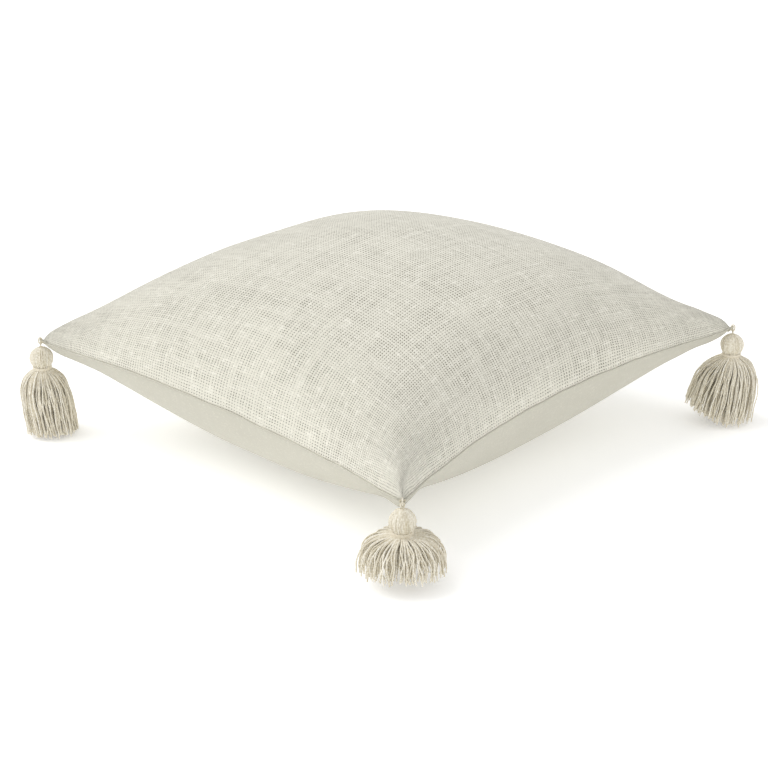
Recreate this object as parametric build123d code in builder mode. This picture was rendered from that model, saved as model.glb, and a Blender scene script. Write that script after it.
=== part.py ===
"""Square knife-edge floor cushion: zipped cotton cover, inner pad and four hinged corner tassels.

The cushion rests on its belly. Z is up, X and Y run along the sides of the cover, and the origin is
on the floor under the middle. The front corner is the one at +X, -Y.
"""
from build123d import *
import math
import os

# ---- driving dimensions, millimetres and degrees --------------------------------------------
half_side = 290.0            # middle of the cushion to a corner, along X or Y
pull_right = 34.0            # how far filling pulls the middle of each side inwards
pull_left = 36.0
pull_front = 13.0
pull_rear = 22.0
pull_power = 2.0             # how sharply a side turns out towards its corners
zip_side_power = 8.0         # the same on the rear side, which the zip keeps almost straight
seam_height = 114.0          # seam above the floor
front_droop = 30.0           # how much lower the front corner hangs
crown_rise = 130.0           # top panel above the seam, at the middle
belly_depth = 134.0          # back panel below the seam before the floor flattens it
floor_softness = 5.0         # rounding where the belly meets the floor
edge_angle = math.radians(84)    # steepness of the panels at the seam
top_fullness = 0.58          # below 1 is fuller towards the seam
belly_fullness = 1.0
grid_steps = 24              # points along each side of a panel's surface
surface_tolerance = 0.1

cover_thickness = 1.2
cover_lift = 2.0             # cover panels' outer faces above and below the seam's middle
floor_trim = 0.25            # sliver pressed flat on the floor
seam_thickness = 1.4
seam_ridge = 1.5             # seam standing out past the panels
seam_allowance = 10.0        # seam turned inwards

pad_inset = 16.0             # inner pad's edge inside the cover's edge
pad_rise = 123.0
pad_depth = 129.0
pad_floor = 4.0
casing_thickness = 0.6
casing_lift = 1.2
casing_seam_thickness = 0.8
casing_allowance = 6.0
filling_inset = 25.0
filling_rise = 119.0
filling_depth = 125.0
filling_floor = 7.0
filling_sections = 11
section_points = 15

zip_length = 380.0
zip_opening = 394.0          # gap in the rear seam
slot_height = 10.0           # gap between the two panels along the zip
tape_width = 10.2
tape_thickness = 0.6
tape_inset = 5.4             # inner face of the tape inside the rear edge
coil_gap = 1.6               # between the two rows of coil
coil_width = 2.2
coil_thickness = 2.6
stop_length = 3.0
slider_length = 9.0
slider_width = 8.4
plate_thickness = 1.2
plate_clearance = 0.4
post_thickness = 0.8
post_length = 5.0
slider_home = -184.0         # slider's place when the zip is closed
pin_radius = 0.8
pin_standoff = 2.45          # pin's axis above the slider's face
cheek_inner = 2.4
cheek_outer = 3.4
tab_length = 26.0
tab_width = 7.2
tab_thickness = 1.4
tab_eye_radius = 2.1
tab_hole_radius = 1.15
tab_hole_spacing = 17.0

cord_radius = 0.9            # hanging loop and corner tack
tack_reach = 6.2             # tack's bar outside the corner tip
tack_half_width = 2.7
tack_raise = 6.0             # tack's bar above the seam, on the blunt end of the corner
ring_radius = 2.25           # loop's and eye's bends, to the middle of the cord
loop_drop = 3.0              # between the centres of the loop's two bends
head_radius = 14.3
head_gap = 2.8               # hinge under the loop to the top of the head
neck_turn = 45.0             # where the round head meets the neck, below its equator
binding_height = 5.0
binding_thickness = 1.9
skirt_radius = 38.0
hanging_length = 112.0       # tack's bar to the bottom of a tassel that hangs free
resting_length = 82.0        # the same on the front tassel, which spreads on the floor

corners = {"front": (1, -1), "right": (1, 1), "back": (-1, 1), "left": (-1, -1)}
rear_edge = half_side - pull_rear
neck_radius = head_radius * math.cos(math.radians(neck_turn))
head_height = head_radius * (1 + math.sin(math.radians(neck_turn)))


# ---- shape of the cushion ---------------------------------------------------------------------
def plan_point(u, v, inset):
    """Place on the plan for u and v from -1 to 1, with every side drawn inwards by its pull."""
    reach = half_side - inset
    if u > 0:
        x = reach * u - pull_right * (1 - abs(v) ** pull_power) * u * u
    else:
        x = reach * u + pull_left * (1 - abs(v) ** pull_power) * u * u
    if v > 0:
        y = reach * v - pull_rear * (1 - abs(u) ** zip_side_power) * v * v
    else:
        y = reach * v + pull_front * (1 - abs(u) ** pull_power) * v * v
    return x, y


def seam_z(x, y):
    """Height of the seam's surface, which droops towards the front corner."""
    towards_front = (1 + x / half_side) / 2 * (1 - y / half_side) / 2
    return seam_height - front_droop * max(towards_front, 0) ** 2


def bulge(u, fullness):
    """Height across one direction: 1 in the middle, 0 at the seam."""
    low = math.cos(edge_angle) ** fullness
    lean = math.asin(min(abs(u), 1) * math.sin(edge_angle))
    return (math.cos(lean) ** fullness - low) / (1 - low)


def swell(u, v, rise):
    """Height above the seam (rise > 0) or below it (rise < 0)."""
    fullness = top_fullness if rise > 0 else belly_fullness
    return rise * bulge(u, fullness) * bulge(v, fullness)


def pressed(z, floor):
    """Height after the floor has flattened what would lie below it."""
    depth = (z - floor) / floor_softness
    if depth > 30:
        return z
    return floor + floor_softness * math.log(1 + math.exp(depth))


def grid_value(step):
    """Position -1 to 1 of a grid step, closer together near the seam."""
    return math.sin(edge_angle * (2 * step / grid_steps - 1)) / math.sin(edge_angle)


def cushion_surface(inset, lift, rise, floor):
    """A face above the seam (rise > 0), below it (rise < 0) or along it (rise = 0)."""
    rows = []
    for i in range(grid_steps + 1):
        row = []
        for j in range(grid_steps + 1):
            u, v = grid_value(i), grid_value(j)
            x, y = plan_point(u, v, inset)
            z = seam_z(x, y) + lift + swell(u, v, rise)
            row.append(Vector(x, y, pressed(z, floor) if rise < 0 else z))
        rows.append(row)
    return Face.make_surface_from_array_of_points(rows, tol=surface_tolerance, min_deg=3, max_deg=3)


def outline_points(inset, side):
    """Points along one side of the plan outline."""
    places = [-1 + 2 * i / 8 for i in range(9)]
    if side == "front":
        return [plan_point(t, -1, inset) for t in places]
    if side == "right":
        return [plan_point(1, t, inset) for t in places]
    if side == "rear":
        return [plan_point(-t, 1, inset) for t in places]
    return [plan_point(-1, -t, inset) for t in places]


def finish_piece(part, name):
    part.label = name
    export_step(part, "parts/" + name + ".step")
    boxed = part.bounding_box()
    print(name, "volume", round(part.volume), "size", [round(s, 1) for s in boxed.size])


# ---- cover ------------------------------------------------------------------------------------
def make_cover_panel(name, side):
    """One sewn panel: a thin shell, open between the two panels along the zip."""
    rise = crown_rise if side > 0 else -belly_depth
    outer = cushion_surface(0, side * cover_lift, rise, -floor_trim)
    with BuildPart() as panel:
        thicken(outer, amount=-side * cover_thickness)
        with Locations((0, rear_edge, seam_height)):
            Box(zip_opening, 30, slot_height, mode=Mode.SUBTRACT)
        if side < 0:
            split(bisect_by=Plane.XY, keep=Keep.TOP)
    finish_piece(panel.part, name)


def make_seam(name, ridge_inset, inner_inset, thickness, opened):
    """Sewn edge: a ring of turned-in cloth between two panels, opened where a zip is."""
    sheet = cushion_surface(ridge_inset, -thickness / 2, 0, 0)
    with BuildPart() as seam:
        thicken(sheet, amount=thickness)
        with BuildSketch():
            with BuildLine():
                for side in ("front", "right", "rear", "left"):
                    Spline(outline_points(inner_inset, side))
            make_face()
        extrude(amount=2 * seam_height, mode=Mode.SUBTRACT)
        if opened:
            with Locations((0, rear_edge, seam_height)):
                Box(zip_opening, 30, 30, mode=Mode.SUBTRACT)
    finish_piece(seam.part, name)


# ---- inner pad --------------------------------------------------------------------------------
def make_casing(name, side):
    rise = pad_rise if side > 0 else -pad_depth
    outer = cushion_surface(pad_inset, side * casing_lift, rise, pad_floor)
    with BuildPart() as casing:
        thicken(outer, amount=-side * casing_thickness)
    finish_piece(casing.part, name)


def pad_place(x, y, inset):
    """The u and v of a place on the plan, found by a few corrections."""
    u, v = 0.0, 0.0
    for _ in range(60):
        px, py = plan_point(u, v, inset)
        u = u + (x - px) / half_side
        v = v + (y - py) / half_side
    return u, v


def filling_edge(x, side):
    """Y of the filling's edge on the section at x."""
    inside, outside = 0.0, side * half_side
    for _ in range(30):
        middle = (inside + outside) / 2
        if abs(pad_place(x, middle, filling_inset)[1]) < 1:
            inside = middle
        else:
            outside = middle
    return inside


def filling_outline(x, rise):
    """Upper or lower edge of the filling's section at x, as points in Y and Z."""
    low, high = filling_edge(x, -1), filling_edge(x, 1)
    points = []
    for i in range(section_points):
        turn = edge_angle * (2 * i / (section_points - 1) - 1)
        share = math.sin(turn) / math.sin(edge_angle)
        y = (low + high) / 2 + share * (high - low) / 2
        u, v = pad_place(x, y, filling_inset)
        z = seam_z(x, y) + swell(u, v, rise)
        at_tip = i in (0, section_points - 1)
        points.append((y, z if rise > 0 or at_tip else pressed(z, filling_floor)))
    return points


def make_filling():
    """Fibre filling, lofted through upright sections from the left to the right."""
    last = half_side - pull_left - filling_inset - 10
    with BuildPart() as filling:
        for i in range(filling_sections):
            turn = math.radians(80) * (2 * i / (filling_sections - 1) - 1)
            x = last * math.sin(turn) / math.sin(math.radians(80))
            with BuildSketch(Plane.YZ.offset(x)):
                with BuildLine():
                    upper = Spline(filling_outline(x, filling_rise))
                    Spline([upper @ 0] + filling_outline(x, -filling_depth)[1:-1] + [upper @ 1])
                make_face()
        loft()
    finish_piece(filling.part, "pad_filling")


# ---- zip --------------------------------------------------------------------------------------
tape_y = rear_edge - tape_inset                  # inner face of the tape
coil_y = tape_y + tape_thickness                 # inner face of the coil
coil_front = coil_y + coil_thickness
slider_face = coil_front + plate_clearance + plate_thickness
pin_y = slider_face + pin_standoff


def make_zip_row(name, side):
    """Tape and its row of coil, above (side 1) or below (side -1) the middle of the zip."""
    edge = coil_gap / 2
    with BuildPart() as tape:
        with Locations((0, tape_y + tape_thickness / 2, seam_height + side * (edge + tape_width / 2))):
            Box(zip_opening - 2, tape_thickness, tape_width)
    finish_piece(tape.part, "zip_tape_" + name)
    with BuildPart() as coil:
        with Locations((0, coil_y + coil_thickness / 2, seam_height + side * (edge + coil_width / 2))):
            Box(zip_length, coil_thickness, coil_width)
        fillet(coil.edges().filter_by(Axis.X).group_by(Axis.Y)[-1], radius=0.8)
    finish_piece(coil.part, "zip_coil_" + name)


def make_zip_stop(name, side):
    with BuildPart() as stop:
        x = side * (zip_length + stop_length) / 2
        with Locations((x, coil_y + coil_thickness / 2, seam_height)):
            Box(stop_length, coil_thickness, coil_gap + 2 * coil_width)
        fillet(stop.edges().filter_by(Axis.X).group_by(Axis.Y)[-1], radius=0.6)
    finish_piece(stop.part, name)


def make_zip_slider():
    """Two plates joined by a post between the coils, with two cheeks and a pin for the tab."""
    with BuildPart() as slider:
        with BuildSketch(Plane.XZ.offset(-slider_face)):
            with Locations((slider_home, seam_height)):
                RectangleRounded(slider_length, slider_width, 2)
        extrude(amount=plate_thickness)
        with BuildSketch(Plane.XZ.offset(-(tape_y - plate_clearance))):
            with Locations((slider_home, seam_height)):
                RectangleRounded(slider_length, slider_width, 2)
        extrude(amount=plate_thickness)
        post_depth = slider_face - tape_y
        with Locations((slider_home, tape_y + post_depth / 2 - 0.6, seam_height)):
            Box(post_length, post_depth, post_thickness)
        cheek_depth = pin_standoff + 1.3
        cheek_z = (cheek_inner + cheek_outer) / 2
        for side in (-1, 1):
            with Locations((slider_home, slider_face + cheek_depth / 2 - 0.1, seam_height + side * cheek_z)):
                Box(3.2, cheek_depth, cheek_outer - cheek_inner)
        with Locations((slider_home, pin_y, seam_height)):
            Cylinder(pin_radius, 2 * cheek_outer)
    finish_piece(slider.part, "zip_slider")


def make_pull_tab():
    """Flat tab that turns on the slider's pin and lies along the zip."""
    with BuildPart() as tab:
        with Locations((slider_home, pin_y, seam_height)):
            Cylinder(tab_eye_radius, 2 * cheek_inner - 0.9)
        with Locations((slider_home + 3.5, pin_y, seam_height)):
            Box(5, tab_thickness, 2 * cheek_inner - 0.9)
        with BuildSketch(Plane.XZ.offset(-(pin_y + tab_thickness / 2))):
            with Locations((slider_home + (4.5 + tab_length) / 2, seam_height)):
                RectangleRounded(tab_length - 4.5, tab_width, 2.4)
            with Locations((slider_home + tab_hole_spacing + 4, seam_height)):
                SlotOverall(8, 3, mode=Mode.SUBTRACT)
        extrude(amount=tab_thickness)
        with Locations((slider_home, pin_y, seam_height)):
            Cylinder(tab_hole_radius, tab_width, mode=Mode.SUBTRACT)
    finish_piece(tab.part, "zip_pull_tab")


# ---- corner tassels ---------------------------------------------------------------------------
def corner_frame(signs):
    """Plane at a corner's tack bar: X outwards along the diagonal, Y sideways, Z up."""
    tip_x, tip_y = signs[0] * half_side, signs[1] * half_side
    outwards = Vector(signs[0], signs[1], 0).normalized()
    bar = Vector(tip_x, tip_y, seam_z(tip_x, tip_y) + tack_raise) + outwards * tack_reach
    return Plane(origin=bar, x_dir=outwards, z_dir=(0, 0, 1))


def make_corner_tack(place, name):
    """Small sewn bar across the corner, on two legs that rise from the seam."""
    wide = tack_half_width
    leg = math.hypot(tack_reach, tack_raise)
    rising = place.x_dir * tack_reach + Vector(0, 0, tack_raise)
    slope = Plane(origin=place.origin, x_dir=rising, z_dir=rising.cross(place.y_dir))
    with BuildPart() as tack:
        with BuildLine(slope):
            route = [(-leg, -0.6), (-3, -wide), (0, -wide), (0, wide), (-3, wide), (-leg, 0.6)]
            path = FilletPolyline(*route, radius=1.2)
        with BuildSketch(Plane(origin=path @ 0, z_dir=path % 0)):
            Circle(cord_radius)
        sweep(path=path)
    finish_piece(tack.part, "corner_tack_" + name)


def make_hanging_loop(place, name):
    """Closed loop of cord round the tack's bar, with its lower bend in the tassel's eye."""
    upright = Plane(origin=place.origin, x_dir=place.x_dir, z_dir=-place.y_dir)
    with BuildPart() as loop:
        with BuildLine(upright):
            path_down = Line((ring_radius, 0), (ring_radius, -loop_drop))
            bend = CenterArc((0, -loop_drop), ring_radius, 0, -180)
            path_up = Line((-ring_radius, -loop_drop), (-ring_radius, 0))
            CenterArc((0, 0), ring_radius, 180, -180)
        with BuildSketch(Plane(origin=path_down @ 0, z_dir=path_down % 0)):
            Circle(cord_radius)
        sweep()
    finish_piece(loop.part, "hanging_loop_" + name)


def make_tassel(place, name, length):
    """Head with its eye, binding round the neck, and skirt, turned about the tassel's axis."""
    hinge_z = -(loop_drop + ring_radius)
    head_top = hinge_z - head_gap
    neck_z = head_top - head_height - binding_height / 2
    bottom = -length
    upright = Plane(origin=place.origin, x_dir=place.x_dir, z_dir=-place.y_dir)
    with BuildPart() as head:
        with BuildSketch(upright):
            with BuildLine():
                ball = CenterArc((0, head_top - head_radius), head_radius, 90, -90 - neck_turn)
                Polyline(ball @ 1, (neck_radius, neck_z), (0, neck_z), (0, head_top))
            make_face()
        revolve(axis=Axis(place.origin, (0, 0, 1)))
        ring_plane = Plane(origin=place.origin + Vector(0, 0, hinge_z), z_dir=place.x_dir)
        with Locations(ring_plane):
            Torus(ring_radius, cord_radius)
    finish_piece(head.part, "tassel_head_" + name)

    with BuildPart() as binding:
        with BuildSketch(upright):
            with Locations((neck_radius + binding_thickness / 2, neck_z)):
                RectangleRounded(binding_thickness, binding_height, 0.8)
        revolve(axis=Axis(place.origin, (0, 0, 1)))
    finish_piece(binding.part, "tassel_binding_" + name)

    drop = neck_z - bottom
    shoulder = neck_z - binding_height / 2
    with BuildPart() as skirt:
        with BuildSketch(upright):
            with BuildLine():
                side = Spline((neck_radius, shoulder), (0.62 * skirt_radius, neck_z - 0.38 * drop),
                              (skirt_radius, bottom + 4), tangents=((0.8, -1), (0.25, -1)))
                Polyline(side @ 1, (skirt_radius - 4, bottom), (0, bottom), (0, neck_z),
                         (neck_radius, neck_z), side @ 0)
            make_face()
        revolve(axis=Axis(place.origin, (0, 0, 1)))
    finish_piece(skirt.part, "tassel_skirt_" + name)


os.makedirs("parts", exist_ok=True)
make_cover_panel("cover_top_panel", 1)
make_cover_panel("cover_back_panel", -1)
make_seam("cover_seam", -seam_ridge, seam_allowance, seam_thickness, True)
make_casing("pad_casing_top", 1)
make_casing("pad_casing_bottom", -1)
make_seam("pad_seam", pad_inset - 1, pad_inset + casing_allowance, casing_seam_thickness, False)
make_filling()
make_zip_row("upper", 1)
make_zip_row("lower", -1)
make_zip_stop("zip_stop_closed_end", -1)
make_zip_stop("zip_stop_open_end", 1)
make_zip_slider()
make_pull_tab()
for corner, signs in corners.items():
    frame_here = corner_frame(signs)
    make_corner_tack(frame_here, corner)
    make_hanging_loop(frame_here, corner)
    make_tassel(frame_here, corner, resting_length if corner == "front" else hanging_length)
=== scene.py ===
# %% [markdown]
# # A floor cushion with four tassels
# A square cushion of undyed cotton rests on its belly. Its cover is two panels sewn edge to edge,
# closed by a zip at the back, with a tassel of natural yarn at each corner. The CAD frame holds the
# sizes, the hinges and the zip. This lesson adds what Blender is good at: cloth, yarn and fibre.

# %% Load the frame
import bpy
import bmesh
import math
import random
from mathutils import Matrix, Vector, noise


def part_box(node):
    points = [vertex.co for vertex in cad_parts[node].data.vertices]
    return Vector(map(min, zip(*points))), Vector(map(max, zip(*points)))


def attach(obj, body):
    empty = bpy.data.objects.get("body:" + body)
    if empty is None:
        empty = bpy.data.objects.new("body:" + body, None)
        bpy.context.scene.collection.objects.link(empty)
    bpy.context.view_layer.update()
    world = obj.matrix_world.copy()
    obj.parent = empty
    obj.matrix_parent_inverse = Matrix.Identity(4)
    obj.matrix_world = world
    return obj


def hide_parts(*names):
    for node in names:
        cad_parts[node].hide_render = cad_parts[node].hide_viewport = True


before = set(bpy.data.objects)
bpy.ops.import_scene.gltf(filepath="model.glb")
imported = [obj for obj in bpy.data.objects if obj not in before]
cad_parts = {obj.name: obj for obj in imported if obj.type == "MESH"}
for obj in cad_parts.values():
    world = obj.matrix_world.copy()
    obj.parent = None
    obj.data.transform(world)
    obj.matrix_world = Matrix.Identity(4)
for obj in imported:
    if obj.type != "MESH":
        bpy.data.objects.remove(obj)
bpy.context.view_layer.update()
MM = 0.001

# %% [markdown]
# ## The camera
# A product picture is taken from a little above, corner first, with a long lens that keeps the
# square from looking stretched.

# %% Camera
CAMERA_AZIMUTH = math.radians(43.3)
CAMERA_ELEVATION = math.radians(19.8)
CAMERA_ROLL = math.radians(-0.5)
CAMERA_DISTANCE = 2.2
CAMERA_LENS = 85.6
CAMERA_SHIFT = (-0.006, -0.046)
SENSOR_WIDTH = 36
AIM = Vector((0, 0, 0.1))


def add_camera():
    """Camera on a sphere round the aim point, turned to it and rolled a little."""
    away = Vector((math.sin(CAMERA_AZIMUTH) * math.cos(CAMERA_ELEVATION),
                   -math.cos(CAMERA_AZIMUTH) * math.cos(CAMERA_ELEVATION),
                   math.sin(CAMERA_ELEVATION)))
    data = bpy.data.cameras.new("camera")
    data.lens = CAMERA_LENS
    data.sensor_width = SENSOR_WIDTH
    data.shift_x, data.shift_y = CAMERA_SHIFT
    camera = bpy.data.objects.new("camera", data)
    camera.location = AIM + away * CAMERA_DISTANCE
    turn = (-away).to_track_quat("-Z", "Y").to_matrix() @ Matrix.Rotation(CAMERA_ROLL, 3, "Z")
    camera.rotation_euler = turn.to_euler()
    bpy.context.collection.objects.link(camera)
    bpy.context.scene.camera = camera


add_camera()
print("camera at", [round(c, 2) for c in bpy.context.scene.camera.location])

# %% [markdown]
# ## Helpers
# A colour picked on a screen is sRGB, and shaders work in linear light, so one function turns the
# one into the other. One more adds a shader node with its settings and links. The last two make an
# object from a bmesh or from yarn paths.

# %% Colour and node helpers
def colour(code):
    """Linear colour of an sRGB hex value."""
    parts = [int(code[i:i + 2], 16) / 255 for i in (1, 3, 5)]
    return [p / 12.92 if p <= 0.04045 else ((p + 0.055) / 1.055) ** 2.4 for p in parts] + [1]


def add(tree, kind, *values, **settings):
    """Add a shader node. Values fill its inputs in order, and settings are properties or inputs by name.
    An input takes a plain value, a socket, or a node, whose first output is then joined to it."""
    node = tree.nodes.new("ShaderNode" + kind)
    inputs = dict(enumerate(values))
    for name, value in settings.items():
        if hasattr(node, name):
            setattr(node, name, value)
        else:
            inputs[name.replace("_", " ")] = value
    for name, value in inputs.items():
        if isinstance(value, bpy.types.Node):
            value = value.outputs[0]
        if isinstance(value, bpy.types.NodeSocket):
            tree.links.new(value, node.inputs[name])
        else:
            node.inputs[name].default_value = value
    return node


def start_material(name, roughness, **shader):
    """A material with its shader; returns the material, its node tree and the shader node."""
    material = bpy.data.materials.new(name)
    material.use_nodes = True
    tree = material.node_tree
    tree.nodes.clear()
    surface = add(tree, "BsdfPrincipled", Roughness=roughness, **shader)
    add(tree, "OutputMaterial", Surface=surface)
    return material, tree, surface


# %% Object helpers
def make_object(name, mesh, material, body, slot, *nodes):
    """Link a mesh as a piece that rides on a body and stands for CAD nodes."""
    piece = bpy.data.objects.new(name, mesh)
    bpy.context.collection.objects.link(piece)
    mesh.materials.clear()
    mesh.materials.append(material)
    mesh.polygons.foreach_set("use_smooth", [True] * len(mesh.polygons))
    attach(piece, body)
    if nodes:
        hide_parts(*nodes)
    return piece


def yarn_mesh(name, paths, radius, steps=3, sides=1, closed=False):
    """Mesh tubes along paths of points, smooth as NURBS."""
    data = bpy.data.curves.new(name, "CURVE")
    data.dimensions = "3D"
    data.bevel_depth = radius
    data.bevel_resolution = sides
    data.use_fill_caps = not closed
    data.resolution_u = steps
    for path in paths:
        spline = data.splines.new("NURBS")
        spline.points.add(len(path) - 1)
        for point, place in zip(spline.points, path):
            point.co = (*place, 1)
        spline.use_cyclic_u = closed
        spline.use_endpoint_u = not closed
        spline.order_u = 4
    holder = bpy.data.objects.new(name, data)
    mesh = bpy.data.meshes.new_from_object(holder)
    bpy.data.objects.remove(holder)
    return mesh


# %% [markdown]
# ## The cushion's shape
# A knife-edge cushion is two flat squares sewn together and filled. The filling lifts the middle,
# draws the sides in and leaves the corners as ears. The same formula as the CAD model's gives the
# start, and the cloth simulation then finds the creases.

# %% Shape of the cushion
HALF = 290 * MM
PULL_RIGHT = 34 * MM
PULL_LEFT = 36 * MM
PULL_FRONT = 13 * MM
PULL_REAR = 22 * MM
PULL_POWER = 2.0
ZIP_SIDE_POWER = 8.0
SEAM_HEIGHT = 114 * MM
FRONT_DROOP = 30 * MM
CROWN_RISE = 130 * MM
BELLY_DEPTH = 134 * MM
FLOOR_SOFTNESS = 5 * MM
EDGE_ANGLE = math.radians(84)
TOP_FULLNESS = 0.58          # below 1 is fuller towards the seam
BELLY_FULLNESS = 1.0
CORNER_PUSH = 60 * MM        # corner fullness, outwards, upwards and downwards
TOP_CORNER = 130 * MM
BELLY_CORNER = 60 * MM
CORNER_POWER = 12            # a higher power keeps the fullness nearer to the corner
TIP_LIFT = 5 * MM            # the cover's tips reach outwards and up to the sewn bars
TIP_POWER = 24


def plan_point(u, v, inset):
    """Place on the plan for u and v from -1 to 1."""
    reach = HALF - inset
    sideways = PULL_RIGHT if u > 0 else -PULL_LEFT
    along = PULL_REAR if v > 0 else -PULL_FRONT
    power = ZIP_SIDE_POWER if v > 0 else PULL_POWER
    x = reach * u - sideways * (1 - abs(v) ** PULL_POWER) * u * u
    y = reach * v - along * (1 - abs(u) ** power) * v * v
    return x, y


def seam_z(x, y):
    """Height of the seam's surface, lower towards the front corner."""
    towards_front = max((1 + x / HALF) / 2 * (1 - y / HALF) / 2, 0)
    return SEAM_HEIGHT - FRONT_DROOP * towards_front ** 2


def bulge(u, fullness):
    """Fullness across one direction: 1 in the middle, 0 at the seam."""
    low = math.cos(EDGE_ANGLE) ** fullness
    lean = math.asin(min(abs(u), 1) * math.sin(EDGE_ANGLE))
    return (math.cos(lean) ** fullness - low) / (1 - low)


def pressed(z, floor):
    """Height after the floor has flattened what would lie below it."""
    depth = (z - floor) / FLOOR_SOFTNESS
    return z if depth > 30 else floor + FLOOR_SOFTNESS * math.log(1 + math.exp(depth))


def corner_fill(u, v):
    """Extra fullness close to the corners, where fibre pushed into them makes them blunt."""
    return bulge(u, 0.2) * bulge(v, 0.2) * abs(u * v) ** CORNER_POWER


def cushion_point(s, t, side, inset=0.0, rise=CROWN_RISE, depth=BELLY_DEPTH, floor=0.0):
    """Point of a panel for s and t from -1 to 1, evenly spaced over the cloth."""
    u = math.sin(EDGE_ANGLE * s) / math.sin(EDGE_ANGLE)
    v = math.sin(EDGE_ANGLE * t) / math.sin(EDGE_ANGLE)
    x, y = plan_point(u, v, inset)
    fill = corner_fill(u, v)
    upper_fill = fill * (1 + max((1 + u) / 2 * (1 - v) / 2, 0) ** 4)      # fuller at the front corner
    push = CORNER_PUSH * upper_fill
    place = Vector((x + math.copysign(push, u), y + math.copysign(push, v), seam_z(x, y)))
    if side > 0:
        place.z += rise * bulge(u, TOP_FULLNESS) * bulge(v, TOP_FULLNESS) + TOP_CORNER * upper_fill
    else:
        drop = depth * bulge(u, BELLY_FULLNESS) * bulge(v, BELLY_FULLNESS) + BELLY_CORNER * fill
        place.z = pressed(place.z - drop, floor)
    if inset == 0:
        tip = TIP_LIFT * abs(u * v) ** TIP_POWER
        place += Vector((math.copysign(0.7 * tip, u), math.copysign(0.7 * tip, v), tip))
    return place


# %% [markdown]
# ## The cover, cut flat and filled
# The cloth starts as two flat squares, welded round their edges. Each square is cut a little larger
# than the filled cushion, as a real cover is, so when the air pressure pushes it out the spare cloth
# gathers into small puckers along the seam. The flat square is kept as the cloth's rest shape.

# %% Cover mesh
PANEL_STEPS = 96
CUT_HALF = 312 * MM
PRESSURE = 4.0
SIM_FRAMES = 20
MOST_MOVE = 14 * MM


def pillow_bmesh(steps):
    """Two flat grids welded round their edge; the face layer 'side' is 1 on top and 0 below."""
    bm = bmesh.new()
    bmesh.ops.create_grid(bm, x_segments=steps, y_segments=steps, size=1.0)
    side = bm.faces.layers.int.new("side")
    for face in bm.faces:
        face[side] = 1
    copy = bmesh.ops.duplicate(bm, geom=bm.faces[:])
    under = [f for f in copy["geom"] if isinstance(f, bmesh.types.BMFace)]
    for face in under:
        face[side] = 0
    bmesh.ops.reverse_faces(bm, faces=under)
    uv = bm.loops.layers.uv.new("cloth")
    for face in bm.faces:
        for loop in face.loops:
            loop[uv].uv = (loop.vert.co.x * CUT_HALF, loop.vert.co.y * CUT_HALF)
    rim = [v for v in bm.verts if v.is_boundary]
    bmesh.ops.remove_doubles(bm, verts=rim, dist=1e-5)
    return bm, side


def shaped_pillow(name, steps, **shape):
    """Pillow mesh in its filled shape, and the flat places of its vertices."""
    bm, side = pillow_bmesh(steps)
    bm.verts.ensure_lookup_table()
    flat = [v.co.copy() for v in bm.verts]
    for vert in bm.verts:
        tops = [face[side] for face in vert.link_faces]
        below = -1 if not any(tops) else 1
        vert.co = cushion_point(vert.co.x, vert.co.y, below, **shape)
    mesh = bpy.data.meshes.new(name)
    bm.to_mesh(mesh)
    bm.free()
    return mesh, flat


cover_mesh, flat_places = shaped_pillow("cover", PANEL_STEPS)
print("cover mesh", len(cover_mesh.vertices), "points")


# %% Fill the cover with air
def simulate_cover(mesh, flat):
    """Cloth under pressure, its seam pinned, with each point's move capped."""
    start = [v.co.copy() for v in mesh.vertices]
    cloth = bpy.data.objects.new("cloth", mesh)
    bpy.context.collection.objects.link(cloth)
    cloth.shape_key_add(name="filled")
    cut = cloth.shape_key_add(name="cut flat")
    for i, place in enumerate(flat):
        cut.data[i].co = (place.x * CUT_HALF, place.y * CUT_HALF, 0)
    cut.value = 0
    pins = cloth.vertex_groups.new(name="seam")
    seam = [i for i, p in enumerate(flat) if max(abs(p.x), abs(p.y)) > 0.9999]
    pins.add(seam, 1.0, "REPLACE")
    modifier = cloth.modifiers.new("cloth", "CLOTH")
    settings = modifier.settings
    settings.quality = 6
    settings.mass = 0.1
    settings.tension_stiffness = 15
    settings.compression_stiffness = 15
    settings.shear_stiffness = 5
    settings.bending_stiffness = 0.3
    settings.use_pressure = True
    settings.uniform_pressure_force = PRESSURE
    settings.vertex_group_mass = "seam"
    settings.rest_shape_key = cut
    settings.effector_weights.gravity = 0
    modifier.point_cache.frame_end = SIM_FRAMES
    scene = bpy.context.scene
    for step in range(1, SIM_FRAMES + 1):
        scene.frame_set(step)
    settled = cloth.evaluated_get(bpy.context.evaluated_depsgraph_get()).to_mesh()
    moved = []
    for i, place in enumerate(start):
        move = settled.vertices[i].co - place
        if move.length > MOST_MOVE:
            move *= MOST_MOVE / move.length
        moved.append(place + move)
    scene.frame_set(1)
    bpy.data.objects.remove(cloth)
    return moved


start_places = [v.co.copy() for v in cover_mesh.vertices]
filled_places = start_places
filled_places = simulate_cover(cover_mesh.copy(), flat_places)


# %% Dents and puckers
def unevenness(place, flat):
    """Gentle dents in the panels and short folds near the sewn edge, from smooth noise."""
    to_edge = 1 - max(abs(flat.x), abs(flat.y))
    beside_zip = flat.y > 0.5 and abs(flat.x) < 0.85 and to_edge < 0.08
    if place.z < 3 * MM or beside_zip:
        return Vector((0, 0, 0))
    near = math.exp(-((to_edge - 0.10) / 0.12) ** 2)
    folds = noise.noise(Vector((place.x * 30, place.y * 30, 3)))
    dents = noise.noise(Vector((place.x * 9, place.y * 9, place.z * 9 + 5)))
    inside = min(to_edge / 0.06, 1.0)
    lift = (2.6 * near * folds + 2.4 * dents) * inside * MM
    waver = noise.noise(Vector((place.x * 22, place.y * 22, 8))) * 1.6 * MM
    corner = abs(flat.x * flat.y) > 0.75
    return Vector((0, 0, lift + (0 if corner else waver * (1 - inside))))


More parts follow.
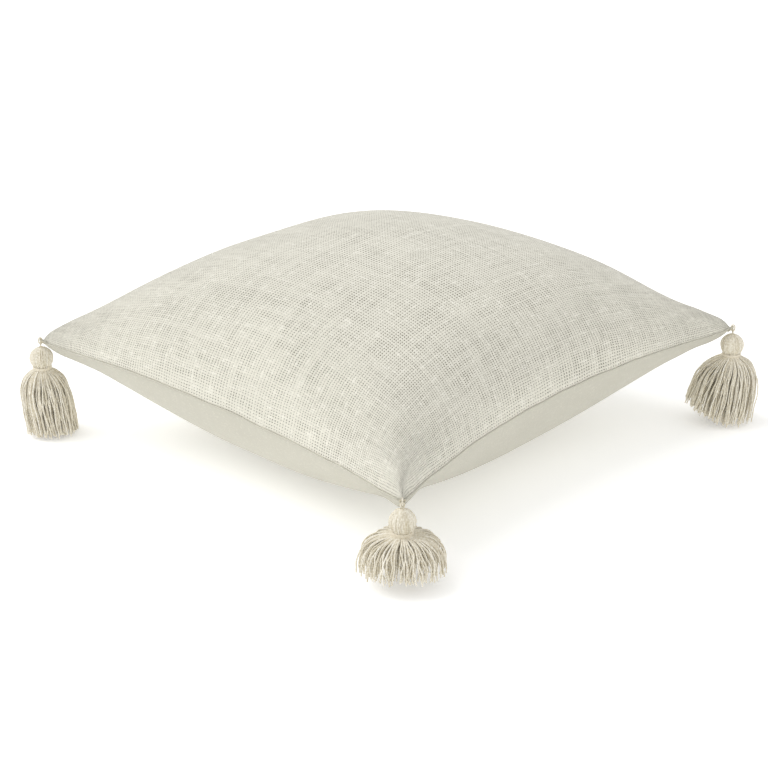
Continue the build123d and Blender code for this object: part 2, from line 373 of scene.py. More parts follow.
for vert, place, flat in zip(cover_mesh.vertices, filled_places, flat_places):
    place = place + unevenness(place, flat)
    vert.co = (place.x, place.y, max(place.z, 0.0))
moves = [(start - vert.co).length for start, vert in zip(start_places, cover_mesh.vertices)]
print("largest move in mm", round(max(moves) / MM, 1), "mean", round(sum(moves) / len(moves) / MM, 2))

# %% [markdown]
# ## Yarn and cloth materials
# Every textile here is undyed cotton. What tells them apart is how they are made: an open slub
# weave on top, a flat close weave below, and loose plied yarn in the tassels. The close weave below
# is also coloured darker as painted shade for the cushion's underside, and the weaves' pores carry painted
# shade.

# %% Cloth materials
SLUB_SPACING = 3.2 * MM      # between threads of the open weave
FLAT_SPACING = 1.3 * MM      # drawn coarser than the real 0.6 mm so that it shows


def weave_height(tree, spacing, thin, thick, slub, wander):
    """Height of a plain weave from 0 in the pores to 1, how slubby each place is, and the place."""
    place = add(tree, "UVMap", uv_map="cloth")
    drift = add(tree, "TexNoise", Vector=place, Scale=38.0, Detail=5.0).outputs["Color"]
    pushed = add(tree, "VectorMath", drift, (wander, wander, 0), place, operation="MULTIPLY_ADD")
    cut = add(tree, "SeparateXYZ", pushed)
    across = [add(tree, "Math", cut.outputs[i], spacing, operation="DIVIDE") for i in (0, 1)]
    heights, slubs = [], []
    for own, other, sign in ((0, 1, 1.0), (1, 0, -1.0)):
        thread = add(tree, "Math", across[own], operation="FLOOR")
        within = add(tree, "Math", across[own], operation="FRACT")
        offset = add(tree, "Math", within, 0.5, operation="SUBTRACT")
        lane = add(tree, "Math", thread, 7.13 + own, operation="MULTIPLY")
        streaks = []
        for pace in (0.05, 0.28):
            run = add(tree, "Math", across[other], pace, operation="MULTIPLY")
            along = add(tree, "CombineXYZ", lane, run)
            streaks.append(add(tree, "TexNoise", Vector=along, Scale=1.0, Detail=1.0))
        lump = add(tree, "MapRange", Value=streaks[1], From_Min=0.60, From_Max=0.74)
        width = add(tree, "MapRange", Value=streaks[0], From_Min=0.32, From_Max=0.66,
                    To_Min=thin, To_Max=thick)
        swollen = add(tree, "Math", lump, slub, operation="MULTIPLY")
        wide = add(tree, "Math", width, swollen, operation="ADD")
        ratio = add(tree, "Math", offset, wide, operation="DIVIDE")
        squared = add(tree, "Math", ratio, ratio, operation="MULTIPLY")
        round_top = add(tree, "Math", 1.0, squared, operation="SUBTRACT", use_clamp=True)
        arch = add(tree, "Math", round_top, 0.5, operation="POWER")
        halfway = add(tree, "Math", across[other], 0.5, operation="SUBTRACT")
        phase = add(tree, "Math", halfway, math.pi, operation="MULTIPLY")
        wave = add(tree, "Math", phase, operation="COSINE")
        parity = add(tree, "Math", thread, math.pi, operation="MULTIPLY")
        over_under = add(tree, "Math", parity, operation="COSINE")
        turn = add(tree, "Math", wave, over_under, operation="MULTIPLY")
        ride = add(tree, "Math", turn, 0.22 * sign, 0.78, operation="MULTIPLY_ADD")
        heights.append(add(tree, "Math", arch, ride, operation="MULTIPLY"))
        slubs.append(lump)
    height = add(tree, "Math", *heights, operation="MAXIMUM")
    return height, add(tree, "Math", *slubs, operation="MAXIMUM"), place


def woven_cotton(name, spacing, pore_shade, yarn, light, thin, thick, slub, wander, depth, blotch):
    """Undyed plain weave: dull, a little fuzzy, with painted shade in its pores and lighter on its slubs."""
    material, tree, surface = start_material(name, 0.92, Specular_IOR_Level=0.25, Sheen_Weight=0.25,
                                             Sheen_Roughness=0.55)
    height, slubs, place = weave_height(tree, spacing, thin, thick, slub, wander)
    patch = add(tree, "TexNoise", Vector=place, Scale=9.0, Detail=3.0)
    tone = add(tree, "Mix", Factor=slubs, A=colour(yarn), B=colour(light), data_type="RGBA")
    fuzz = add(tree, "TexNoise", Vector=place, Scale=2.2 / spacing, Detail=2.0)
    uneven = add(tree, "Math", fuzz, 2.0, patch, operation="MULTIPLY_ADD")
    shade = add(tree, "MapRange", Value=uneven, From_Min=1.1, From_Max=1.9,
                To_Min=1 - 2 * blotch, To_Max=1 + 2 * blotch)
    toned = add(tree, "Mix", A=tone.outputs["Result"], B=shade, data_type="RGBA",
                blend_type="MULTIPLY", Factor=1.0)
    solid = add(tree, "MapRange", Value=height, From_Min=0.0, From_Max=0.45)
    # Painted shade: the pores take a dark colour that stands for the shade between the threads.
    cloth = add(tree, "Mix", Factor=solid, A=colour(pore_shade), B=toned.outputs["Result"], data_type="RGBA")
    tree.links.new(cloth.outputs["Result"], surface.inputs["Base Color"])
    bump = add(tree, "Bump", Height=height, Strength=0.9, Distance=depth)
    tree.links.new(bump.outputs[0], surface.inputs["Normal"])
    return material


# The first colour given to each weave is the painted shade in its pores.
slub_cotton = woven_cotton("undyed slub cotton, open plain weave", SLUB_SPACING, "#7a7462", "#e6e3d5",
                           "#eeebde", 0.28, 0.46, 0.10, 2.8 * MM, 1.2 * MM, 0.03)
# The close weave's colours are darker than the top's, partly as the cloth's own tone and partly as painted
# shade for the cushion's underside.
flat_cotton_with_painted_shade = woven_cotton("undyed cotton, close plain weave, darkened as painted shade", FLAT_SPACING, "#aaa593", "#c9c6b8",
                           "#d4d1c3", 0.42, 0.52, 0.06, 0.6 * MM, 0.15 * MM, 0.03)


# %% Yarn materials
def cotton_yarn(name, dark, light, pitch):
    """Loosely plied natural cotton: each strand has its own tone and a faint twist."""
    material, tree, surface = start_material(name, 0.9, Specular_IOR_Level=0.25, Sheen_Weight=0.2,
                                             Sheen_Roughness=0.5)
    place = add(tree, "TexCoord").outputs["Object"]
    strand = add(tree, "NewGeometry").outputs["Random Per Island"]
    fleck = add(tree, "TexNoise", Vector=place, Scale=1.6 / pitch, Detail=3.0)
    spread = add(tree, "MapRange", Value=fleck, From_Min=0.35, From_Max=0.65)
    own_tone = add(tree, "Math", strand, 0.45, operation="MULTIPLY")
    mixed = add(tree, "Math", spread, 0.55, own_tone, operation="MULTIPLY_ADD")
    tone = add(tree, "Mix", Factor=mixed, A=colour(dark), B=colour(light), data_type="RGBA")
    tree.links.new(tone.outputs["Result"], surface.inputs["Base Color"])
    twist = add(tree, "TexWave", Vector=place, bands_direction="DIAGONAL", Scale=0.5 / pitch,
                Distortion=2.0, Detail=1.0)
    bump = add(tree, "Bump", Height=twist.outputs["Fac"], Strength=0.6, Distance=0.25 * MM)
    tree.links.new(bump.outputs[0], surface.inputs["Normal"])
    return material


natural_yarn = cotton_yarn("natural cotton yarn, loosely plied", "#d2c8ae", "#fffbf0", 3 * MM)
binding_yarn = cotton_yarn("natural cotton yarn, tightly wound", "#d6cab0", "#f4eddc", 2 * MM)
sewing_thread = cotton_yarn("cotton sewing thread, several turns", "#bdb59c", "#ddd6c2", 1.5 * MM)
print("materials", len(bpy.data.materials))


# %% [markdown]
# ## Two panels from one filled cover
# The filled mesh is parted along the seam into the top and the back panel. Each becomes a thin
# closed shell with a Solidify modifier, and one level of subdivision smooths the creases.

# %% Part the panels
CLOTH_THICKNESS = 1.2 * MM
REAR_EDGE = HALF - PULL_REAR
ZIP_OPEN = 197 * MM          # half of the gap left in the rear seam
SLOT = 5 * MM                # from the zip's middle to either panel


def zip_shift(place):
    """How far a point of the rear edge moves up or down to leave the zip's gap."""
    on_edge = place.y > REAR_EDGE - 4 * MM and abs(place.z - SEAM_HEIGHT) < 0.5 * MM
    return SLOT if on_edge and abs(place.x) < ZIP_OPEN else 0.0


def panel_mesh(name, places, side_wanted):
    """One side of the filled cover, with the zip's gap left in its rear edge."""
    bm, side = pillow_bmesh(PANEL_STEPS)
    bm.verts.ensure_lookup_table()
    for vert, place in zip(bm.verts, places):
        vert.co = place
    other = [f for f in bm.faces if f[side] != side_wanted]
    bmesh.ops.delete(bm, geom=other, context="FACES")
    for vert in bm.verts:
        if vert.is_boundary:
            vert.co.z += zip_shift(vert.co) if side_wanted else -zip_shift(vert.co)
    mesh = bpy.data.meshes.new(name)
    bm.to_mesh(mesh)
    bm.free()
    return mesh


def finish_cloth(piece, thickness):
    """Smooth a sheet once and give it a wall of the cloth's thickness."""
    smooth = piece.modifiers.new("smooth", "SUBSURF")
    smooth.levels = 1
    smooth.render_levels = 1
    solid = piece.modifiers.new("thickness", "SOLIDIFY")
    solid.thickness = thickness
    solid.offset = -1


settled_places = [v.co.copy() for v in cover_mesh.vertices]
# The back panel's darker cloth is partly painted shade for the cushion's underside.
for name, side_wanted, material, slot, node in (
        ("cover_top", 1, slub_cotton, "slub_cotton", "cover_top_panel"),
        ("cover_back", 0, flat_cotton_with_painted_shade, "plain_cotton", "cover_back_panel")):
    piece = make_object(name, panel_mesh(name, settled_places, side_wanted), material, "cushion", slot, node)
    finish_cloth(piece, CLOTH_THICKNESS)
    print(name, len(piece.data.polygons), "faces")

# %% [markdown]
# ## The seam
# The panels' edges are turned inwards and sewn, which leaves a thin lip round the cushion. The lip is
# a row of rounded cross-sections, one at each point of the panels' shared edge, joined by strips of
# faces. A little random waviness keeps it from looking moulded.

# %% Seam pieces
def edge_loop(places):
    """The panels' shared edge in order, starting in the middle of the rear side."""
    bm, _ = pillow_bmesh(PANEL_STEPS)
    bm.verts.ensure_lookup_table()
    flat = {}
    for vert, place in zip(bm.verts, places):
        if max(abs(vert.co.x), abs(vert.co.y)) > 0.9999:
            flat[math.atan2(vert.co.x, vert.co.y)] = place
    bm.free()
    return [flat[turn] for turn in sorted(flat)]


def lip_mesh(name, edge_places, outside, inside, thickness, closed, rng):
    """A lip of cloth along an edge; outside and inside are its reach past the edge and within it."""
    bm = bmesh.new()
    rings = []
    count = len(edge_places)
    for i, place in enumerate(edge_places):
        before, after = edge_places[i - 1], edge_places[(i + 1) % count]
        along = (after - before).normalized()
        out = Vector((along.y, -along.x, 0)).normalized()
        if out.dot(place) < 0:
            out = -out
        at_corner = max(abs(place.x), abs(place.y)) / max(abs(place.x) + abs(place.y), 1e-6) < 0.503
        stretch = 1.3 if at_corner else 1.0
        middle = place + Vector((0, 0, rng.uniform(-0.35, 0.35) * MM))
        edge = outside * stretch + rng.uniform(-0.25, 0.25) * MM
        half = thickness / 2
        ring = []
        section = ((-inside, half), (edge - half, half), (edge - half * 0.3, half * 0.7), (edge, 0),
                   (edge - half * 0.3, -half * 0.7), (edge - half, -half), (-inside, -half))
        for reach, rise in section:
            ring.append(bm.verts.new(middle + out * reach + Vector((0, 0, rise))))
        rings.append(ring)
    pairs = list(zip(rings, rings[1:])) + ([(rings[-1], rings[0])] if closed else [])
    for one, two in pairs:
        for j, k in zip(range(len(one)), [*range(1, len(one)), 0]):
            bm.faces.new((one[j], one[k], two[k], two[j]))
    if not closed:
        bm.faces.new(rings[0])
        bm.faces.new(rings[-1][::-1])
    bmesh.ops.recalc_face_normals(bm, faces=bm.faces[:])
    uv = bm.loops.layers.uv.new("cloth")
    for face in bm.faces:
        for loop in face.loops:
            loop[uv].uv = (loop.vert.co.x, loop.vert.co.y)
    mesh = bpy.data.meshes.new(name)
    bm.to_mesh(mesh)
    bm.free()
    return mesh


def smooth_once(piece):
    """One level of subdivision."""
    smooth = piece.modifiers.new("smooth", "SUBSURF")
    smooth.levels = 1
    smooth.render_levels = 1


whole_edge = edge_loop(settled_places)
rear = [i for i, p in enumerate(whole_edge) if p.y > REAR_EDGE - 4 * MM and abs(p.x) < ZIP_OPEN]
start = next(i for i in rear if (i + 1) % len(whole_edge) not in rear)
sewn_edge = [whole_edge[(start + 1 + i) % len(whole_edge)] for i in range(len(whole_edge) - len(rear))]
rng = random.Random(3)
seam_mesh = lip_mesh("cover_seam", sewn_edge, 1.3 * MM, 9 * MM, 1.3 * MM, False, rng)
# The seam takes the back's cloth, with its painted shade.
seam = make_object("cover_seam", seam_mesh, flat_cotton_with_painted_shade, "cushion", "plain_cotton", "cover_seam")
smooth_once(seam)
print("cover seam from", len(sewn_edge), "sections")

# %% [markdown]
# ## The inner pad
# The pad that fills the cover is its own cushion: a thin calico casing, a sewn edge and a lump of
# polyester fibre. It only shows when the cushion is taken apart. Its fibre is one closed lump, made
# uneven by noise on its points.

# %% Pad materials
# The calico's first colour is the painted shade in its pores.
calico = woven_cotton("unbleached calico, thin plain weave", 1.1 * MM, "#c9c3b2", "#ebe7da", "#f3f0e6",
                      0.44, 0.52, 0.05, 0.5 * MM, 0.1 * MM, 0.02)


def polyester_fibre():
    """White crimped fibre: soft, bright and full of fine tangled strands."""
    material, tree, surface = start_material("crimped polyester fibre", 0.85, Sheen_Weight=0.5,
                                             Sheen_Roughness=0.4, Subsurface_Weight=0.15,
                                             Subsurface_Scale=0.01)
    place = add(tree, "TexCoord").outputs["Object"]
    tangle = add(tree, "TexNoise", Vector=place, Scale=160.0, Detail=5.0, Distortion=2.5)
    tufts = add(tree, "TexNoise", Vector=place, Scale=22.0, Detail=3.0, Distortion=0.8)
    fine = add(tree, "Math", tangle, 0.4, operation="MULTIPLY")
    mixed = add(tree, "Math", tufts, 0.6, fine, operation="MULTIPLY_ADD")
    tone = add(tree, "Mix", Factor=mixed, A=colour("#cfcfca"), B=colour("#fbfbf8"), data_type="RGBA")
    tree.links.new(tone.outputs["Result"], surface.inputs["Base Color"])
    bump = add(tree, "Bump", Height=mixed, Strength=0.8, Distance=2 * MM)
    tree.links.new(bump.outputs[0], surface.inputs["Normal"])
    return material


fibre = polyester_fibre()

# %% Pad pieces
PAD_STEPS = 64
PAD = dict(inset=16 * MM, rise=123 * MM, depth=129 * MM, floor=4 * MM)
FILLING = dict(inset=25 * MM, rise=117 * MM, depth=123 * MM, floor=8 * MM)


def half_of_pillow(name, steps, side_wanted, lift, **shape):
    """One side of a filled pillow, moved up or down a little to leave room for the pad's seam."""
    bm, side = pillow_bmesh(steps)
    for vert in bm.verts:
        below = 1 if any(face[side] for face in vert.link_faces) else -1
        vert.co = cushion_point(vert.co.x, vert.co.y, below, **shape) + Vector((0, 0, lift))
    other = [f for f in bm.faces if f[side] != side_wanted]
    bmesh.ops.delete(bm, geom=other, context="FACES")
    mesh = bpy.data.meshes.new(name)
    bm.to_mesh(mesh)
    bm.free()
    return mesh


for name, side_wanted, lift in (("pad_casing_top", 1, 1 * MM), ("pad_casing_bottom", 0, -1 * MM)):
    mesh = half_of_pillow(name, PAD_STEPS, side_wanted, lift, **PAD)
    piece = make_object(name, mesh, calico, "cushion", "pad_calico", name)
    finish_cloth(piece, 0.5 * MM)
pad_loop = []
for turn in range(4 * PAD_STEPS):
    side, step = divmod(turn, PAD_STEPS)
    along = -1 + 2 * step / PAD_STEPS
    s, t = ((along, -1), (1, along), (-along, 1), (-1, -along))[side]
    pad_loop.append(cushion_point(s, t, 1, **PAD))
pad_seam_mesh = lip_mesh("pad_seam", pad_loop, 0.8 * MM, 5 * MM, 0.8 * MM, True, rng)
make_object("pad_seam", pad_seam_mesh, calico, "cushion", "pad_calico", "pad_seam")

filling_mesh, _ = shaped_pillow("pad_filling", PAD_STEPS, **FILLING)
for vert in filling_mesh.vertices:
    lump = noise.fractal(vert.co * 28, 0.6, 2.0, 3) * 1.6 * MM
    vert.co -= vert.normal * (1.2 * MM + abs(lump))
filling = make_object("pad_filling", filling_mesh, fibre, "cushion", "fibre_filling", "pad_filling")
smooth_once(filling)
print("pad pieces", len(filling_mesh.polygons), "faces in the filling")

# %% [markdown]
# ## The zip
# A coil zip has two woven tapes, each with a helix of nylon sewn along its edge. The helices are
# swept along a few points for every turn. The slider, pull tab and end stops are hard metal parts, so
# they stay as the CAD model made them and only take a material.

# %% Zip materials
def woven_tape():
    """Herringbone tape: tight diagonal ribs that change direction every few millimetres."""
    material, tree, surface = start_material("woven zip tape, herringbone", 0.85, Sheen_Weight=0.2)
    place = add(tree, "SeparateXYZ", add(tree, "TexCoord").outputs["Object"])
    zigzag = add(tree, "Math", place.outputs["Z"], 1.6 * MM, operation="PINGPONG")
    slant = add(tree, "Math", place.outputs["X"], zigzag, operation="ADD")
    counted = add(tree, "Math", slant, 0.9 * MM, operation="DIVIDE")
    ribs = add(tree, "Math", counted, 0.5, operation="PINGPONG")
    lightness = add(tree, "Math", ribs, 2.0, operation="MULTIPLY")
    tone = add(tree, "Mix", Factor=lightness, A=colour("#aba491"), B=colour("#d3ccba"), data_type="RGBA")
    tree.links.new(tone.outputs["Result"], surface.inputs["Base Color"])
    bump = add(tree, "Bump", Height=ribs, Strength=0.8, Distance=0.15 * MM)
    tree.links.new(bump.outputs[0], surface.inputs["Normal"])
    return material


def nylon_coil():
    """Nylon monofilament: smooth, slightly clear, with a small even sheen."""
    material, tree, surface = start_material("nylon monofilament", 0.38, Specular_IOR_Level=0.5,
                                             Subsurface_Weight=0.2, Subsurface_Scale=0.001)
    place = add(tree, "TexCoord").outputs["Object"]
    tint = add(tree, "TexNoise", Vector=place, Scale=300.0)
    tone = add(tree, "Mix", Factor=tint, A=colour("#b9b19c"), B=colour("#cdc6b2"), data_type="RGBA")
    tree.links.new(tone.outputs["Result"], surface.inputs["Base Color"])
    return material


def plated_alloy():
    """Dull antique-brass plating on cast zinc, worn a little paler in places."""
    material, tree, surface = start_material("zinc alloy, antique-brass plating", 0.42, Metallic=1.0)
    place = add(tree, "TexCoord").outputs["Object"]
    wear = add(tree, "TexNoise", Vector=place, Scale=420.0, Detail=4.0)
    tone = add(tree, "Mix", Factor=wear, A=colour("#7d6b45"), B=colour("#a8966c"), data_type="RGBA")
    tree.links.new(tone.outputs["Result"], surface.inputs["Base Color"])
    rough = add(tree, "MapRange", Value=wear, To_Min=0.32, To_Max=0.55)
    tree.links.new(rough.outputs[0], surface.inputs["Roughness"])
    bump = add(tree, "Bump", Height=wear, Strength=0.15, Distance=0.05 * MM)
    tree.links.new(bump.outputs[0], surface.inputs["Normal"])
    return material


# %% Zip pieces
COIL_PITCH = 2.0 * MM
WIRE = 0.38 * MM             # radius of the coil's nylon
TAPE_THICKNESS = 0.4 * MM


def tape_mesh(name, low, high, rng):
    """A strip of tape a little wavy across its width, with square ends."""
    bm = bmesh.new()
    bmesh.ops.create_grid(bm, x_segments=96, y_segments=4, size=1.0)
    waves = [rng.uniform(0, 6.28) for _ in range(3)]
    for vert in bm.verts:
        x = low[0] + (high[0] - low[0]) * (vert.co.x + 1) / 2
        z = low[2] + (high[2] - low[2]) * (vert.co.y + 1) / 2
        wave = math.sin(x * 61 + waves[0]) + math.sin(x * 143 + z * 90 + waves[1])
        vert.co = (x, (low[1] + high[1]) / 2 + wave * 0.04 * MM, z)
    bmesh.ops.solidify(bm, geom=bm.faces[:], thickness=TAPE_THICKNESS)
    bmesh.ops.recalc_face_normals(bm, faces=bm.faces[:])
    mesh = bpy.data.meshes.new(name)
    bm.to_mesh(mesh)
    bm.free()
    return mesh


def coil_path(low, high, turn_sign):
    """Helix inside a box that is long in X."""
    middle_y, middle_z = (low[1] + high[1]) / 2, (low[2] + high[2]) / 2
    reach_y, reach_z = (high[1] - low[1]) / 2 - WIRE, (high[2] - low[2]) / 2 - WIRE
    turns = int((high[0] - low[0] - 2 * WIRE) / COIL_PITCH)
    path = []
    for i in range(turns * 8 + 1):
        angle = turn_sign * 2 * math.pi * i / 8
        path.append(Vector((low[0] + WIRE + COIL_PITCH * i / 8, middle_y + 1.12 * reach_y * math.cos(angle),
                            middle_z + 1.12 * reach_z * math.sin(angle))))
    return path


tape_cloth, coil_nylon, zip_alloy = woven_tape(), nylon_coil(), plated_alloy()
for row, sign in (("upper", 1), ("lower", -1)):
    tape = "zip_tape_" + row
    make_object(tape, tape_mesh(tape, *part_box(tape), rng), tape_cloth, "cushion", "zip_tape", tape)
    coil = "zip_coil_" + row
    mesh = yarn_mesh(coil, [coil_path(*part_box(coil), sign)], WIRE, steps=1)
    make_object(coil, mesh, coil_nylon, "cushion", "zip_coil", coil)
    print(coil, len(mesh.polygons), "faces")
for name in ("zip_slider", "zip_pull_tab", "zip_stop_closed_end", "zip_stop_open_end"):
    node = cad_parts[name]
    node.data.materials.clear()
    node.data.materials.append(zip_alloy)

# %% [markdown]
# ## The tassels
# Each tassel is a hank of yarn folded over its hanging loop. The fold makes the round head, a few
# turns of yarn bind the neck, and the cut ends fall as the skirt. Every strand is its own path of a
# few points, so a seeded random number can bend each one a little.

# %% Tassel sizes
CORNERS = {"front": (1, -1), "right": (1, 1), "back": (-1, 1), "left": (-1, -1)}
HEAD_RADIUS = 14.3 * MM
NECK_ANGLE = math.radians(45)        # below the head's middle, where the binding grips it
NECK_RADIUS = HEAD_RADIUS * math.cos(NECK_ANGLE)
STRAND_RADIUS = 0.8 * MM
HEAD_YARN_RADIUS = 0.7 * MM
SKIRT_STRANDS = 370
HEAD_STRANDS = 62
CORD_RADIUS = 0.9 * MM
BEND_RADIUS = 2.25 * MM
LOOP_DROP = 3 * MM
TACK_REACH = 6.2 * MM        # the sewn bar's place out from the corner's tip, and above it
TACK_RAISE = 6.0 * MM
TACK_HALF_WIDTH = 2.7 * MM
WRAP_TURNS = 4
GOLDEN = math.pi * (3 - math.sqrt(5))


def tassel_axis(corner):
    """A point on the tassel's axis, heights of the neck's edges, and the outward direction."""
    low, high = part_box("tassel_head_" + corner)
    binding_low, binding_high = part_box("tassel_binding_" + corner)
    middle = Vector(((low[0] + high[0]) / 2, (low[1] + high[1]) / 2, 0))
    outwards = Vector((*CORNERS[corner], 0)).normalized()
    return middle, binding_low[2], binding_high[2], outwards


def plied(path, normal, radius, closed, turns):
    """Three strands wound round a flat path, and the radius of each strand."""
    strand_radius = radius * 0.464
    swing = (radius - strand_radius) * 1.08
    count = len(path)
    strands = []
    for strand in range(3):
        places = []
        for i, place in enumerate(path):
            before = path[i - 1] if closed or i > 0 else path[0]
            after = path[(i + 1) % count] if closed or i < count - 1 else path[-1]
            across = (after - before).normalized().cross(normal)
            angle = 2 * math.pi * (turns * i / (count if closed else count - 1) + strand / 3)
            places.append(place + (normal * math.cos(angle) + across * math.sin(angle)) * swing)
        strands.append(places)
    return strands, strand_radius


def evenly(points, count, closed):
    """Points at even distances along a polyline."""
    route = points + points[:1] if closed else points
    lengths = [0.0]
    for one, two in zip(route, route[1:]):
        lengths.append(lengths[-1] + (two - one).length)
    places, leg = [], 0
    for i in range(count):
        want = lengths[-1] * i / (count if closed else count - 1)
        while leg < len(route) - 2 and lengths[leg + 1] < want:
            leg += 1
        share = (want - lengths[leg]) / max(lengths[leg + 1] - lengths[leg], 1e-9)
        places.append(route[leg].lerp(route[leg + 1], share))
    return places


def head_paths(corner, rng):
    """Strands that run from the top of the head round its side to the neck."""
    middle, neck_low, neck_high, _ = tassel_axis(corner)
    centre_z = neck_high + HEAD_RADIUS * math.sin(NECK_ANGLE) - 1 * MM
    paths = []
    for i in range(HEAD_STRANDS):
        turn = 2 * math.pi * (i + rng.uniform(-0.3, 0.3)) / HEAD_STRANDS
        swell = rng.uniform(-0.7, 0.4) * MM
        slant = rng.uniform(-0.22, 0.22)
        path = []
        for step in range(8):
            down = math.radians(80 - 128 * step / 7)
            reach = (HEAD_RADIUS - HEAD_YARN_RADIUS + swell) * math.cos(down)
            swing = turn + slant * (step / 7 - 0.5) + rng.uniform(-0.03, 0.03)
            z = centre_z + (HEAD_RADIUS - HEAD_YARN_RADIUS + swell) * math.sin(down)
            path.append(middle + Vector((reach * math.cos(swing), reach * math.sin(swing), z)))
        foot = path[-1].copy()
        foot.z = neck_low + 1 * MM
        path.append(foot)
        paths.append(path)
    return paths, centre_z


def bar_place(corner):
    """Middle of the sewn bar that the hanging loop turns on."""
    low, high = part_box("hanging_loop_" + corner)
    return Vector(((low[0] + high[0]) / 2, (low[1] + high[1]) / 2, high[2] - BEND_RADIUS - CORD_RADIUS))


def eye_mesh(corner):
    """Ring of yarn on top of the head."""
    outwards = Vector((*CORNERS[corner], 0)).normalized()
    sideways = Vector((0, 0, 1)).cross(outwards)
    centre = bar_place(corner) - Vector((0, 0, LOOP_DROP + BEND_RADIUS))
    ring = []
    for i in range(24):
        turn = 2 * math.pi * i / 24
        ring.append(centre + (sideways * math.cos(turn) + Vector((0, 0, math.sin(turn)))) * BEND_RADIUS)
    strands, thin = plied(ring, outwards, CORD_RADIUS, True, 3)
    return yarn_mesh("eye", strands, thin, steps=2, closed=True)


def make_head(corner, rng):
    """Round head of strands over a solid core, with the eye on top."""
    paths, centre_z = head_paths(corner, rng)
    mesh = yarn_mesh("head", paths, HEAD_YARN_RADIUS, steps=2)
    bm = bmesh.new()
    bm.from_mesh(mesh)
    middle = tassel_axis(corner)[0]
    place = Matrix.Translation(middle + Vector((0, 0, centre_z)))
    bmesh.ops.create_uvsphere(bm, u_segments=24, v_segments=14, radius=HEAD_RADIUS - 1.6 * HEAD_YARN_RADIUS,
                              matrix=place)
    bm.from_mesh(eye_mesh(corner))
    bm.to_mesh(mesh)
    bm.free()
    return make_object("head_" + corner, mesh, natural_yarn, "tassel_" + corner, "natural_yarn",
                       "tassel_head_" + corner)


def make_binding(corner, rng):
    """A few turns of yarn round the neck."""
    middle, low, high, _ = tassel_axis(corner)
    radius = NECK_RADIUS + 0.9 * MM
    path = []
    steps = WRAP_TURNS * 14
    for i in range(steps + 1):
        turn = 2 * math.pi * WRAP_TURNS * i / steps
        z = high - 0.9 * MM - (high - low - 1.8 * MM) * i / steps + rng.uniform(-0.15, 0.15) * MM
        path.append(middle + Vector((radius * math.cos(turn), radius * math.sin(turn), z)))
    mesh = yarn_mesh("binding", [path], 0.8 * MM, steps=2)
    return make_object("binding_" + corner, mesh, binding_yarn, "tassel_" + corner, "binding_yarn",
                       "tassel_binding_" + corner)


# %% Skirts
STRAND_POINTS = 13
SKIRTS = {
    "left": dict(reach=33 * MM, lean=-8 * MM, shoulder=4.5, fall=1.3, bottom=3 * MM, tuck=0.0),
    "right": dict(reach=42 * MM, lean=-14 * MM, shoulder=3.2, fall=1.4, bottom=3 * MM, tuck=0.28),
    "back": dict(reach=35 * MM, lean=0.0, shoulder=3.0, fall=1.3, bottom=3 * MM, tuck=0.0),
    "front": dict(reach=47 * MM, lean=0.0, shoulder=2.8, fall=1.8, bottom=15 * MM, tuck=0.0),
}


def skirt_paths(corner, rng, reach, lean, shoulder, fall, bottom, tuck):
    """Strands from inside the neck to their cut ends. A larger shoulder spreads them sooner below the
    neck, a larger fall keeps them level for longer, and tuck shortens those on the cushion's side."""
    middle, neck_low, neck_high, outwards = tassel_axis(corner)
    drop = neck_low - bottom
    paths = []
    for i in range(SKIRT_STRANDS):
        share = ((i + 0.5) / SKIRT_STRANDS) ** 0.4
        turn = i * GOLDEN + rng.uniform(-0.1, 0.1)
        way = Vector((math.cos(turn), math.sin(turn), 0))
        sideways = Vector((-way.y, way.x, 0))
        neck = 8.4 * MM * share
        wide = reach * share * (1 + 0.05 * math.sin(3 * turn + 1) + rng.uniform(-0.10, 0.0))
        length = drop * rng.uniform(0.93, 1.0) if share > 0.5 else drop * rng.uniform(0.84, 0.97)
        length *= 1 - tuck * share * max(-way.dot(outwards), 0)
        bend = rng.uniform(-3.5, 3.5) * MM * (1.3 - share)
        wave, phase = rng.uniform(0.5, 2.0) * MM, rng.uniform(0, 6.28)
        path = [middle + way * neck + Vector((0, 0, neck_high - 1 * MM))]
        for step in range(STRAND_POINTS):
            t = step / (STRAND_POINTS - 1)
            radius = neck + (wide - neck) * (1 - (1 - t) ** shoulder)
            z = neck_low - length * t ** (1 + (fall - 1) * share)
            aside = bend * t * t + wave * math.sin(9 * t + phase) * min(3 * t, 1)
            crimp = Vector((rng.uniform(-1, 1), rng.uniform(-1, 1), rng.uniform(-0.4, 0.4))) * 0.7 * MM
            spot = middle + way * radius + sideways * aside + outwards * lean * t ** 1.5
            spot += crimp * min(4 * t, 1)
            spot.z = z + crimp.z
            path.append(spot)
        paths.append(path)
    return paths


def make_skirt(corner, rng):
    """The loose strands below a tassel's neck."""
    paths = skirt_paths(corner, rng, **SKIRTS[corner])
    mesh = yarn_mesh("skirt", paths, STRAND_RADIUS, steps=2)
    return make_object("skirt_" + corner, mesh, natural_yarn, "tassel_" + corner, "natural_yarn",
                       "tassel_skirt_" + corner)


for number, corner in enumerate(CORNERS):
    rng = random.Random(40 + number)
    for make in (make_head, make_binding, make_skirt):
        piece = make(corner, rng)
    print("tassel", corner, len(piece.data.polygons), "skirt faces")

# %% [markdown]
# ## Corner tacks and hanging loops
# A bar of sewing thread crosses each corner, and a loop of plied yarn joins the bar to the eye on the
# tassel's head. Plied yarn is strands twisted round each other, so each cord is three strands that
# wind round one path.

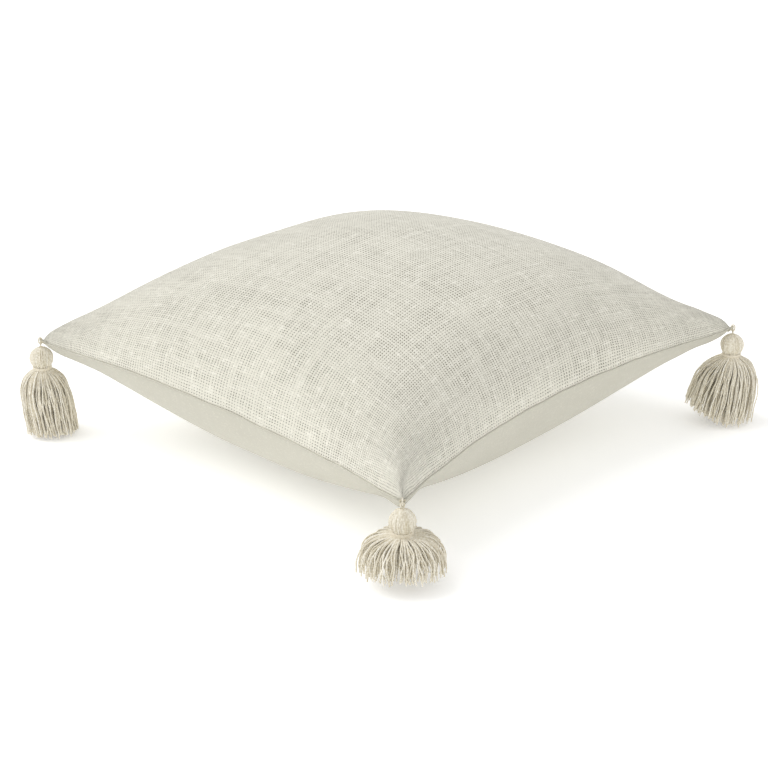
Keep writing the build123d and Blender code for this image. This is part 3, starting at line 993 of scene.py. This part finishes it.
# %% Threads
def make_loop(corner):
    """Closed loop round the bar, with its lower bend in the tassel's eye."""
    outwards = Vector((*CORNERS[corner], 0)).normalized()
    bar = bar_place(corner)
    outline = []
    for bend, first in ((0.0, 0), (-LOOP_DROP, 12)):
        for i in range(13):
            turn = math.pi * (first + i) / 12
            out = outwards * math.cos(turn) + Vector((0, 0, math.sin(turn)))
            outline.append(bar + Vector((0, 0, bend)) + out * BEND_RADIUS)
    path = evenly(outline, 32, True)
    strands, thin = plied(path, Vector((0, 0, 1)).cross(outwards), CORD_RADIUS, True, 4)
    mesh = yarn_mesh("loop", strands, thin, steps=2, closed=True)
    return make_object("loop_" + corner, mesh, natural_yarn, "loop_" + corner, "natural_yarn",
                       "hanging_loop_" + corner)


def make_tack(corner):
    """Bar of thread across the corner on two legs that rise from the seam."""
    outwards = Vector((*CORNERS[corner], 0)).normalized()
    sideways = Vector((0, 0, 1)).cross(outwards)
    rising = outwards * TACK_REACH + Vector((0, 0, TACK_RAISE))
    leg, rising = rising.length, rising.normalized()
    bar, wide = bar_place(corner), TACK_HALF_WIDTH
    route = []
    for out, side in ((-leg, -0.2), (-3 * MM, -0.96), (-0.8 * MM, -1), (0, -0.75), (0, 0.75),
                      (-0.8 * MM, 1), (-3 * MM, 0.96), (-leg, 0.2)):
        route.append(bar + rising * out + sideways * side * wide)
    strands, thin = plied(evenly(route, 40, False), rising.cross(sideways), CORD_RADIUS, False, 5)
    mesh = yarn_mesh("tack", strands, thin, steps=2)
    return make_object("tack_" + corner, mesh, sewing_thread, "cushion", "sewing_thread",
                       "corner_tack_" + corner)


for corner in CORNERS:
    loop, tack = make_loop(corner), make_tack(corner)
print("threads", len(loop.data.polygons) + len(tack.data.polygons), "faces at each corner")

# %% [markdown]
# ## Floor and light
# A plain pale floor and soft light from above and both sides, as in a studio.

# %% Stage
def add_stage():
    """White floor that gives back a little light of its own, so that shadows on it stay faint."""
    bm = bmesh.new()
    bmesh.ops.create_grid(bm, x_segments=1, y_segments=1, size=12)
    mesh = bpy.data.meshes.new("floor")
    bm.to_mesh(mesh)
    bm.free()
    floor = bpy.data.objects.new("floor", mesh)
    material, tree, surface = start_material("pale studio floor", 0.9)
    surface.inputs["Base Color"].default_value = colour("#fbfbfa")
    surface.inputs["Emission Color"].default_value = colour("#ffffff")
    surface.inputs["Emission Strength"].default_value = 0.3
    mesh.materials.append(material)
    bpy.context.collection.objects.link(floor)


def add_sun(name, place, angle, strength):
    """A sun as soft as a large studio lamp; it lights the whole floor evenly."""
    data = bpy.data.lights.new(name, "SUN")
    data.angle = math.radians(angle)
    data.energy = strength
    light = bpy.data.objects.new(name, data)
    light.rotation_euler = (-Vector(place)).to_track_quat("-Z", "Y").to_euler()
    bpy.context.collection.objects.link(light)


add_stage()
add_sun("key", (-1.0, -0.6, 1.5), 50, 1.25)
add_sun("fill", (1.0, -0.9, 0.9), 70, 0.3)
world = bpy.data.worlds.new("studio")
world.use_nodes = True
world.node_tree.nodes["Background"].inputs[0].default_value = colour("#ffffff")
world.node_tree.nodes["Background"].inputs[1].default_value = 0.66
bpy.context.scene.world = world
bpy.context.scene.view_settings.view_transform = "Standard"
